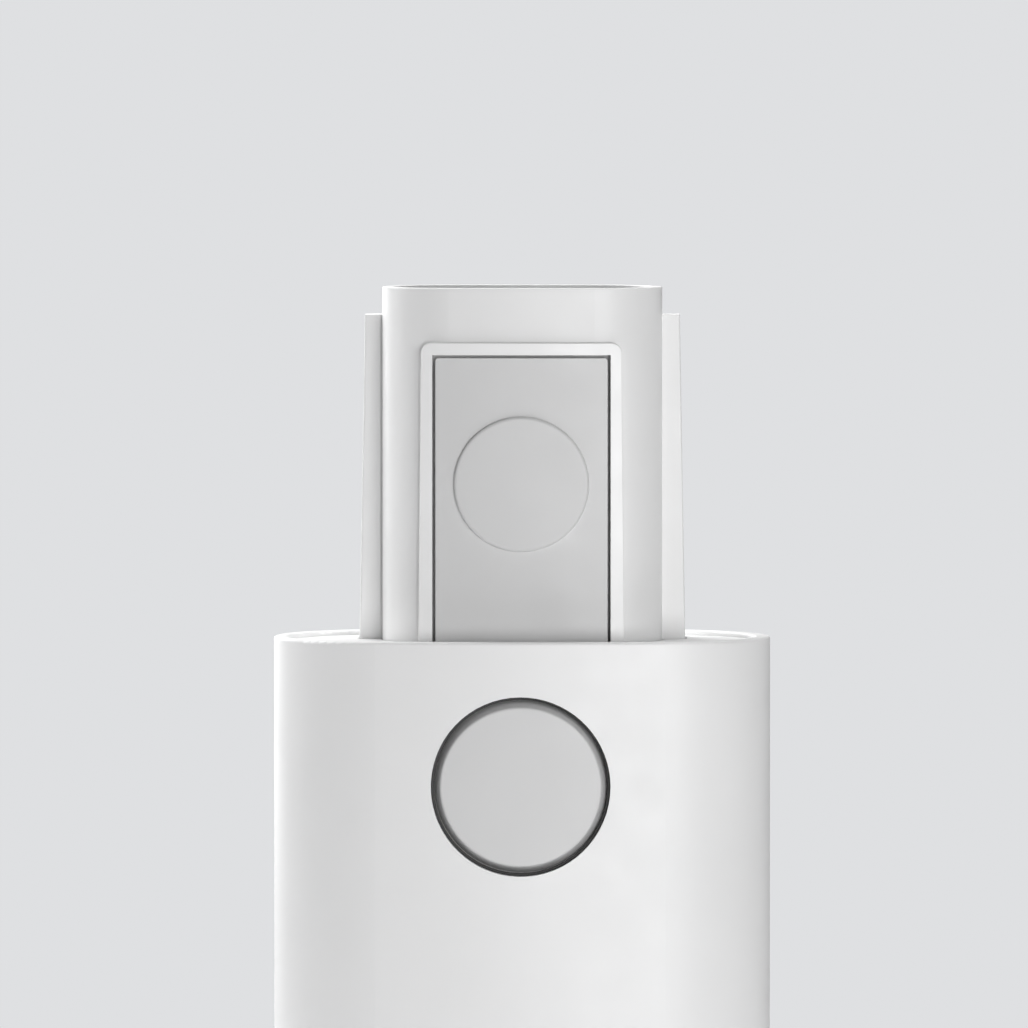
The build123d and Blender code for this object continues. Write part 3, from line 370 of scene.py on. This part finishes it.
def add_screw(bm, x, y, head_z, tip_z):
    """A pan-head screw along Z, whose head's outer face is at head_z, in millimetres."""
    way = 1 if head_z > tip_z else -1
    length = abs(head_z - tip_z) - HEAD_HEIGHT
    threads = int((length - PLAIN_LENGTH) / PITCH)
    thread = [(ROOT_R if turn % 2 else CREST_R, -0.3 - turn * PITCH / 2, 0) for turn in range(2 * threads)]
    rings = SOCKET + HEAD + thread + [(0.30, -length + 0.05, 0), (0.12, -length, 0)]
    start = bmesh.ops.create_circle(bm, cap_ends=True, segments=RING_POINTS, radius=MM)["verts"]
    ours = list(start)
    edges = list({edge for vert in start for edge in vert.link_edges})

    def settle(verts, radius, height, lobe):
        for vert in verts:
            flat = vert.co.to_2d().normalized()
            around = flat.angle_signed(Vector((1, 0)))
            reach = radius * (1 + lobe * cos(6 * around)) * MM
            vert.co = (flat.x * reach, flat.y * reach, height * MM)

    settle(start, *rings[0])
    for ring in rings[1:]:
        grown = bmesh.ops.extrude_edge_only(bm, edges=edges)["geom"]
        verts = [item for item in grown if isinstance(item, bmesh.types.BMVert)]
        edges = [item for item in grown if isinstance(item, bmesh.types.BMEdge) and item.is_boundary]
        settle(verts, *ring)
        ours += verts
    bmesh.ops.contextual_create(bm, geom=edges)
    under = Matrix.Translation((x * MM, y * MM, (head_z - way * HEAD_HEIGHT) * MM))
    turn = Matrix.Identity(4) if way > 0 else Matrix.Rotation(pi, 4, "X")
    bmesh.ops.transform(bm, matrix=under @ turn, verts=ours)


def middle_and_span(node):
    """A node's middle and its size, in millimetres."""
    low, high = (Vector(corner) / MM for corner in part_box(node))
    return (low + high) / 2, high - low


# %% Screws in the base and in the core's caps
centre, span = middle_and_span("base_screws")
bm = bmesh.new()
for side in (-1, 1):
    for end in (-1, 1):
        x = side * (span.x / 2 - HEAD_R)
        y = centre.y + end * (span.y / 2 - HEAD_R)
        add_screw(bm, x, y, centre.z - span.z / 2, centre.z + span.z / 2)
make_piece("star_base_screws", bm, "housing", steel, ["base_screws"])

TOP_SCREW, BOTTOM_SCREW = 8.3, 5.7
centre, span = middle_and_span("core_screws")
bm = bmesh.new()
for side in (-1, 1):
    x = side * (span.x / 2 - HEAD_R)
    add_screw(bm, x, centre.y, centre.z + span.z / 2, centre.z + span.z / 2 - TOP_SCREW)
    add_screw(bm, x, centre.y, centre.z - span.z / 2, centre.z - span.z / 2 + BOTTOM_SCREW)
make_piece("star_core_screws", bm, "core", steel, ["core_screws"])

# %% [markdown]
# ## Turned and printed rings
# Many parts of a camera are turned, so their shape is a half-section swept round an axis. The spin operator
# does that in one call. Here it makes the black border that is printed on the back of the camera's window,
# which hides the trim and the lamps and leaves a round clear spot in front of the lens.

# %% Spin a half-section round the camera's axis
def spun(bm, section, centre, steps=96):
    """Sweep a closed half-section of (radius, depth) points round an axis along Y through centre."""
    middle_x, middle_z = centre.x * MM, centre.z * MM
    verts = [bm.verts.new((radius * MM + middle_x, depth * MM, middle_z)) for radius, depth in section]
    edges = [bm.edges.new((verts[i - 1], verts[i])) for i in range(len(verts))]
    bmesh.ops.spin(
        bm, geom=verts + edges, cent=(middle_x, 0, middle_z), axis=(0, 1, 0), angle=2 * pi, steps=steps,
        use_merge=True,
    )


camera_centre, camera_span = middle_and_span("camera_window")
glass_back = camera_centre.y + camera_span.y / 2
PRINT_OUTER, PRINT_INNER, PRINT_T, PRINT_GAP = 8.7, 4.9, 0.05, 0.02
print_front = glass_back + PRINT_GAP
bm = bmesh.new()
border = [(PRINT_INNER, print_front), (PRINT_OUTER, print_front)]
border += [(PRINT_OUTER, print_front + PRINT_T), (PRINT_INNER, print_front + PRINT_T)]
spun(bm, border, camera_centre)
make_piece("window_border", bm, "housing", dark_plastic)

# %% [markdown]
# Fine steps on the front of the lens barrel, each a little further forward than the one inside it, swallow
# stray light. Each step adds two points to a half-section, so a loop draws them all and one spin makes the
# ring.

# %% A grooved ring round the lens
barrel_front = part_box("lens_barrel")[0][1] / MM
RING_INNER, GROOVES, GROOVE_STEP, GROOVE_RISE = 3.65, 5, 0.2, 0.03
grooved = [(RING_INNER, barrel_front), (RING_INNER, barrel_front - 0.05)]
for groove in range(GROOVES):
    start = RING_INNER + groove * GROOVE_STEP
    crest = barrel_front - 0.12 - GROOVE_RISE * groove
    valley = barrel_front - 0.07 - GROOVE_RISE * groove
    grooved += [(start + 0.04, crest), (start + 0.16, valley)]
grooved += [(RING_INNER + GROOVES * GROOVE_STEP, barrel_front)]
bm = bmesh.new()
spun(bm, grooved, camera_centre)
make_piece("lens_ring", bm, "housing", chip_plastic)

# %% [markdown]
# ## The speaker's gauze
# Behind the slots in the base a wire gauze keeps insects and drops out of the speaker. Such a mesh is cheap
# to make from a flat grid: the faces outside the round opening are deleted, and the wireframe operator turns
# every edge that is left into a thin square bar.

# %% Cut a grid round and turn it into wire
speaker_centre, speaker_span = middle_and_span("speaker_driver")
GAUZE_R, GAUZE_CELL, GAUZE_WIRE = 8.5, 0.40, 0.07
GAUZE_GAP, GAUZE_EDGE = 0.14, 0.2
gauze_z = speaker_centre.z - speaker_span.z / 2 - GAUZE_GAP
cells = int(2 * GAUZE_R / GAUZE_CELL)
bm = bmesh.new()
bmesh.ops.create_grid(bm, x_segments=cells, y_segments=cells, size=GAUZE_R * MM)
outside = [face for face in bm.faces if face.calc_center_median().length > (GAUZE_R - GAUZE_EDGE) * MM]
bmesh.ops.delete(bm, geom=outside, context="FACES")
bmesh.ops.wireframe(
    bm, faces=bm.faces, thickness=GAUZE_WIRE * MM, use_replace=True, use_boundary=True, use_even_offset=True
)
bmesh.ops.translate(bm, verts=bm.verts, vec=(0, speaker_centre.y * MM, gauze_z * MM))
make_piece("speaker_gauze", bm, "housing", steel)

# %% [markdown]
# ## The charging port
# The receptacle is a drawn tin shell with rounded ends, and a black tongue stands in it with a row of gold
# contacts on each face. The shell starts as a block whose four upright edges are bevelled round. Its top face
# is inset by the wall's thickness and pushed down, which hollows it without a boolean.

# %% Shell, tongue and contacts
def add_block(bm, low, high):
    """A block between two corners in millimetres. Its points are returned."""
    verts = bmesh.ops.create_cube(bm, size=1.0)["verts"]
    low, high = Vector(low) * MM, Vector(high) * MM
    bmesh.ops.scale(bm, verts=verts, vec=high - low)
    bmesh.ops.translate(bm, verts=verts, vec=(low + high) / 2)
    return verts


def edges_of(verts, test=None):
    edges = {edge for vert in verts for edge in vert.link_edges}
    return [edge for edge in edges if test is None or test(edge)]


def is_upright(edge):
    run = edge.verts[1].co - edge.verts[0].co
    return abs(run.z) > 0.9 * run.length


def round_off(bm, edges, offset_mm, segments):
    bmesh.ops.bevel(
        bm, geom=edges, offset=offset_mm * MM, segments=segments, affect="EDGES", profile=0.5, material=-1
    )


port_centre, port_span = middle_and_span("charging_port")
port_low, port_high = port_centre - port_span / 2, port_centre + port_span / 2
PORT_WALL, PORT_RIM, PORT_CORNER, PORT_FLOOR = 0.28, 0.07, 1.6, 1.0
bm = bmesh.new()
shell = add_block(bm, port_low, port_high)
round_off(bm, edges_of(shell, is_upright), PORT_CORNER, 8)
top = max(bm.faces, key=lambda face: face.calc_center_median().z)
bmesh.ops.inset_individual(bm, faces=[top], thickness=PORT_RIM * MM, depth=0)
bmesh.ops.inset_individual(bm, faces=[top], thickness=(PORT_WALL - PORT_RIM) * MM, depth=0)
pushed = bmesh.ops.extrude_discrete_faces(bm, faces=[top])["faces"]
for vert in pushed[0].verts:
    vert.co.z = (port_low.z + PORT_FLOOR) * MM
make_piece("port_shell", bm, "core", shield_tin, ["charging_port"])

TONGUE_HALF_WIDTH, TONGUE_HALF_THICK = 3.2, 0.34
tongue_low = Vector((-TONGUE_HALF_WIDTH, port_centre.y - TONGUE_HALF_THICK, port_low.z + 0.9))
tongue_high = Vector((TONGUE_HALF_WIDTH, port_centre.y + TONGUE_HALF_THICK, port_high.z - 2.0))
bm = bmesh.new()
tongue = add_block(bm, tongue_low, tongue_high)
round_off(bm, edges_of(tongue), 0.12, 2)
make_piece("port_tongue", bm, "core", chip_plastic)

CONTACTS, CONTACT_STEP = 10, 0.56
contact_near = Vector((-0.14, -0.03, tongue_high.z - 3.2))
contact_far = Vector((0.14, 0.03, tongue_high.z - 0.3))
bm = bmesh.new()
for face_y in (tongue_low.y, tongue_high.y):
    for number in range(CONTACTS):
        place = Vector(((number - (CONTACTS - 1) / 2) * CONTACT_STEP, face_y, 0))
        strip = add_block(bm, contact_near + place, contact_far + place)
        round_off(bm, edges_of(strip), 0.02, 1)
make_piece("port_contacts", bm, "core", contact_gold)

# %% [markdown]
# ## A dark lip round the bell button, as painted shade
# Seen from in front, the gap round the button is nearly black with shadow. A thin near-black rubber lip is put
# in it, on the housing's side, as painted shade: its dark colour stands in for the shadow down in the gap. It
# is a small beaded section, spun round the button's own axis.

# %% A beaded lip of painted shade
button_centre, _ = middle_and_span("bell_button")
LIP_INNER, LIP_OUTER, LIP_FRONT, LIP_BACK = 10.52, 10.84, -31.86, -31.3
BEAD_HALF, BEAD_RISE = 0.08, 0.10
lip_middle = (LIP_INNER + LIP_OUTER) / 2
bm = bmesh.new()
lip = [(LIP_INNER, LIP_BACK), (LIP_INNER, LIP_FRONT), (lip_middle - BEAD_HALF, LIP_FRONT - BEAD_RISE)]
lip += [(lip_middle + BEAD_HALF, LIP_FRONT - BEAD_RISE), (LIP_OUTER, LIP_FRONT), (LIP_OUTER, LIP_BACK)]
spun(bm, lip, button_centre)
make_piece("button_shade_lip", bm, "housing", gap_shade_rubber)

# %% [markdown]
# ## Springs with closed ends
# A spin that also rises at each step draws a coil from a small circle. A real compression spring has a closed
# turn at each end, so it stands flat, and three spins in a row give that: a tight turn, the open turns and a
# tight turn. Each coil then gets a mesh of its own; it is not squashed when its joint moves.

# %% Wind the springs
WIRE_SIDES, TURN_STEPS = 8, 28
CLOSED_TURNS, CLOSED_PITCH = 0.75, 2.1


def wind(bm, radius, wire, turns, front, back, x, z):
    """A compression spring along Y from front to back, in millimetres."""
    closed_rise = CLOSED_PITCH * wire * CLOSED_TURNS
    open_rise = back - front - 2 * wire - 2 * closed_rise
    ring = bmesh.ops.create_circle(bm, segments=WIRE_SIDES, radius=wire * MM)["verts"]
    bmesh.ops.translate(bm, verts=ring, vec=((x + radius) * MM, (front + wire) * MM, z * MM))
    last = list(ring) + edges_of(ring)
    for share, rise in ((CLOSED_TURNS, closed_rise), (turns, open_rise), (CLOSED_TURNS, closed_rise)):
        steps = round(TURN_STEPS * share)
        last = bmesh.ops.spin(
            bm, geom=last, cent=(x * MM, 0, z * MM), axis=(0, 1, 0), angle=2 * pi * share, steps=steps,
            dvec=(0, rise / steps * MM, 0), use_merge=False,
        )["geom_last"]
    ends = [edge for edge in bm.edges if edge.is_boundary]
    bmesh.ops.holes_fill(bm, edges=ends, sides=WIRE_SIDES)


def squash_with(piece):
    """Give a coil a mesh of its own; it is not shortened."""
    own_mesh(piece)


low, high = (Vector(corner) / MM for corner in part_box("button_spring"))
bm = bmesh.new()
wind(bm, 6.6, 0.3, 2.5, low.y, high.y, 0, button_centre.z)
coil = make_piece("bell_spring", bm, "button", steel, ["button_spring"])
squash_with(coil)

low, high = (Vector(corner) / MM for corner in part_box("plate_springs"))
COIL_R, COIL_WIRE = 1.5, 0.15
bm = bmesh.new()
for x in (low.x + COIL_R + COIL_WIRE, high.x - COIL_R - COIL_WIRE):
    for z in (low.z + COIL_R + COIL_WIRE, high.z - COIL_R - COIL_WIRE):
        wind(bm, COIL_R, COIL_WIRE, 3.0, low.y, high.y, x, z)
coil = make_piece("plate_coils", bm, "core", steel, ["plate_springs"])
squash_with(coil)

# %% [markdown]
# ## Parts on the circuit boards
# A bare green board looks unfinished when the housing is off. Each board gets its chips, the rows of tin legs
# that hold them, and small ceramic capacitors with tin ends. They are all bevelled blocks, so one function
# takes a short list of places for each board and makes three pieces: bodies, tin and ceramic.

# %% Fill a board
ceramic = moulded("ceramic", (0.42, 0.27, 0.15), 0.45, grain_mm=0.15, drift=0.08)
LEG_PITCH, LEG_WIDTH, LEG_LENGTH, LEG_THICK = 0.8, 0.3, 0.7, 0.18
CAPACITOR_LENGTH, CAPACITOR_WIDTH, CAPACITOR_RISE = 1.2, 0.6, 0.5
MARK_SIZE, MARK_PLACE = 0.36, 0.36


def populate(board_name, body, face, way, chips, passives):
    """Stand parts on a board's face, towards the front for a way of -1 or the back for 1, in millimetres."""

    def stand(bm, x, z, width, height, rise, lift=0.0, bevel=0.06):
        near, far = sorted((face + way * lift, face + way * (lift + rise)))
        verts = add_block(bm, (x - width / 2, near, z - height / 2), (x + width / 2, far, z + height / 2))
        round_off(bm, edges_of(verts), bevel, 1)

    bodies, tin, clay = bmesh.new(), bmesh.new(), bmesh.new()
    for x, z, width, height, rise in chips:
        stand(bodies, x, z, width, height, rise, 0.05)
        mark_x, mark_z = x - width * MARK_PLACE, z + height * MARK_PLACE
        stand(bodies, mark_x, mark_z, MARK_SIZE, MARK_SIZE, 0.04, rise + 0.04, 0.015)
        legs = int(width / LEG_PITCH)
        for number in range(legs):
            leg_x = x + (number - (legs - 1) / 2) * LEG_PITCH
            for side in (-1, 1):
                leg_z = z + side * (height / 2 + 0.25)
                stand(tin, leg_x, leg_z, LEG_WIDTH, LEG_LENGTH, LEG_THICK, 0, 0.04)
    for x, z, upright in passives:
        width, height = CAPACITOR_LENGTH, CAPACITOR_WIDTH
        if upright:
            width, height = height, width
        stand(clay, x, z, width, height, CAPACITOR_RISE)
        for side in (-1, 1):
            end_x, end_z = (x, z + side * 0.55) if upright else (x + side * 0.55, z)
            stand(tin, end_x, end_z, 0.66 if upright else 0.34, 0.34 if upright else 0.66, 0.54, 0, 0.05)
    make_piece(board_name + "_chips", bodies, body, chip_plastic)
    make_piece(board_name + "_solder", tin, body, shield_tin)
    make_piece(board_name + "_capacitors", clay, body, ceramic)


# %% [markdown]
# The boards stand upright, so a chip's or a capacitor's place on one is across and up, in the part's own
# millimetres. The capacitors come in rows, and a small helper spaces them.

# %% What stands on each board
def front_of(node):
    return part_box(node)[0][1] / MM


def back_of(node):
    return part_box(node)[1][1] / MM


def row(x, z, count, step, upright):
    """Places for a row of capacitors along X."""
    return [(x + number * step, z, upright) for number in range(count)]


core_chips = [(-3.5, 70, 5.2, 5.0, 1.0), (4.0, 64, 3.4, 3.2, 0.9)]
core_chips += [(-4, 58, 3.2, 2.6, 0.9), (4, 52, 4.0, 4.4, 0.8)]
core_row = row(-6, 75.6, 6, 1.5, True) + row(1.5, 68.6, 5, 1.4, False) + row(-7, 53.5, 4, 1.4, True)
populate("core_board", "core", front_of("core_board"), -1, core_chips, core_row + row(-4, 47.6, 7, 1.4, True))

main_chips = [(10.5, -37.5, 7.2, 7.0, 1.0), (14.5, -45.5, 4.8, 3.6, 0.9), (6.0, -30.0, 3.2, 2.4, 0.8)]
main_row = row(-14, -48.6, 10, 1.6, True) + row(5.4, -43.6, 4, 1.6, False) + row(11, -30.0, 5, 1.5, True)
main_front = front_of("main_board")
populate("main_board", "housing", main_front, -1, main_chips, main_row + row(-12, -51.6, 7, 1.7, False))

camera_chips = [(-5.0, -44.0, 4.2, 4.2, 0.7), (2.2, -42.6, 2.4, 2.0, 0.6)]
camera_row = row(-8, -48.4, 6, 1.5, True) + row(-2.0, -51.8, 4, 1.5, True)
populate("camera_board", "housing", back_of("camera_board"), 1, camera_chips, camera_row)

sensor_chips = [(-5.5, -28.6, 3.6, 3.4, 0.7), (6.5, -28.6, 2.6, 2.6, 0.6)]
sensor_row = row(-2.0, -31.8, 4, 1.4, True) + row(-2.0, -25.6, 4, 1.4, True)
populate("sensor_board", "housing", back_of("sensor_board"), 1, sensor_chips, sensor_row)

# %% [markdown]
# ## The studio
# The doorbell stands on a pale floor that fades out at its edge, so no horizon line shows behind it. A round
# disc is enough: distance drives its alpha, and a face seen from below is clear, so a view from under the
# floor isn't blocked.

# %% Floor
FLOOR_RADIUS = 0.8
FLOOR_CLEARANCE = 0.0002
floor_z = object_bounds()[0][2] - FLOOR_CLEARANCE


def fading_floor():
    finish = Finish("studio_floor", (0.80, 0.80, 0.81), 0.7)
    distance = finish.add("ShaderNodeVectorMath", {0: finish.place}, operation="LENGTH").outputs["Value"]
    ragged = finish.noise(9, 2)
    finish.link(finish.blend(ragged, (0.795, 0.797, 0.805), (0.805, 0.807, 0.815)), "Base Color")
    fade = finish.between(distance, 1, 0, FLOOR_RADIUS * 0.35, FLOOR_RADIUS * 0.97)
    from_below = finish.add("ShaderNodeNewGeometry").outputs["Backfacing"]
    above = finish.add("ShaderNodeMath", {0: fade, 1: from_below}, operation="SUBTRACT", use_clamp=True)
    finish.link(above.outputs[0], "Alpha")
    return finish.material


floor_mesh = bpy.data.meshes.new("floor")
bm = bmesh.new()
bmesh.ops.create_circle(bm, cap_ends=True, segments=96, radius=FLOOR_RADIUS)
bmesh.ops.translate(bm, verts=bm.verts, vec=(0, 0, floor_z))
bm.to_mesh(floor_mesh)
bm.free()
floor = bpy.data.objects.new("floor", floor_mesh)
bpy.context.scene.collection.objects.link(floor)
floor_mesh.materials.append(fading_floor())
print("floor at", round(floor_z, 4))

# %% [markdown]
# The backdrop is a plain pale grey. If the world lit the doorbell as brightly as it looks, every shadow would
# wash out, so the camera sees one brightness and every other ray meets a much weaker one.

# %% World
world = bpy.data.worlds.new("studio")
bpy.context.scene.world = world
world.use_nodes = True
sky = world.node_tree
BACKDROP = (0.737, 0.745, 0.760)
AMBIENT = 0.06
ray = sky.nodes.new("ShaderNodeLightPath")
fill = sky.nodes["Background"]
fill.inputs["Color"].default_value = (1, 1, 1, 1)
fill.inputs["Strength"].default_value = AMBIENT
seen = sky.nodes.new("ShaderNodeBackground")
seen.inputs["Color"].default_value = (*BACKDROP, 1)
either = sky.nodes.new("ShaderNodeMixShader")
sky.links.new(ray.outputs["Is Camera Ray"], either.inputs[0])
sky.links.new(fill.outputs[0], either.inputs[1])
sky.links.new(seen.outputs[0], either.inputs[2])
sky.links.new(either.outputs[0], sky.nodes["World Output"].inputs["Surface"])
bpy.context.scene.view_settings.view_transform = "Standard"
print("ambient", AMBIENT)

# %% [markdown]
# The front is lit softly from a little to the right of the camera, so its tone falls off gently to the left.
# Lamps behind the left side draw a bright edge down the housing, and one above and behind whitens the rims.
# The ones behind are large, so the edges they draw are soft.

# %% Lamps
AIM = Vector((0, -0.018, 0.055))


def softbox(name, turn, distance, height, size, watts):
    """A rectangular lamp that faces the doorbell, turned so many degrees round it from the camera's side."""
    lamp = bpy.data.lights.new(name, "AREA")
    lamp.shape = "RECTANGLE"
    (lamp.size, lamp.size_y), lamp.energy = size, watts
    holder = bpy.data.objects.new(name, lamp)
    bpy.context.scene.collection.objects.link(holder)
    holder.location = (distance * sin(radians(turn)), -distance * cos(radians(turn)), height)
    holder.rotation_euler = (AIM - holder.location).to_track_quat("-Z", "Y").to_euler()
    holder.visible_camera = False


softbox("front_strip", 10, 1.25, 0.0, (0.16, 0.35), 3.51)
softbox("near_card", 25, 0.35, 0.12, (0.12, 0.20), 0.411)
softbox("left_edge", -100, 0.60, 0.40, (0.15, 0.90), 2.13)
softbox("left_behind", -125, 0.80, 0.40, (0.50, 0.90), 2.70)
softbox("left_back", -150, 0.90, 0.40, (0.50, 0.90), 5.52)
softbox("right_behind", 125, 0.80, 0.40, (0.50, 0.90), 0.80)
softbox("back", 180, 1.00, 0.40, (0.80, 0.90), 0.60)
softbox("above_behind", 180, 0.25, 0.60, (0.60, 0.30), 3.0)
softbox("overhead", 0, 0.05, 0.85, (0.60, 0.30), 0.40)
print("lamps", len(bpy.data.lights))

# %% [markdown]
# ## The camera
# A very long lens from a metre and a half away keeps the upright edges nearly parallel, as in a catalogue. It
# stands a little above the core and a touch to the right, so the tops of the rim and the core just show.

# %% Camera
LENS, SENSOR = 420.7, 36.0
CAMERA_PLACE = (0.01692, -1.4829, 0.14606)
TILT_DOWN, TURN_LEFT = 2.6251, 0.7
camera_data = bpy.data.cameras.new("catalogue_camera")
camera_data.lens = LENS
camera_data.sensor_width = SENSOR
camera_data.clip_start = 0.05
camera_data.clip_end = 20.0
camera = bpy.data.objects.new("catalogue_camera", camera_data)
bpy.context.scene.collection.objects.link(camera)
camera.location = CAMERA_PLACE
camera.rotation_euler = (radians(90 - TILT_DOWN), 0, radians(TURN_LEFT))
bpy.context.scene.camera = camera
print("lens", LENS, "mm")
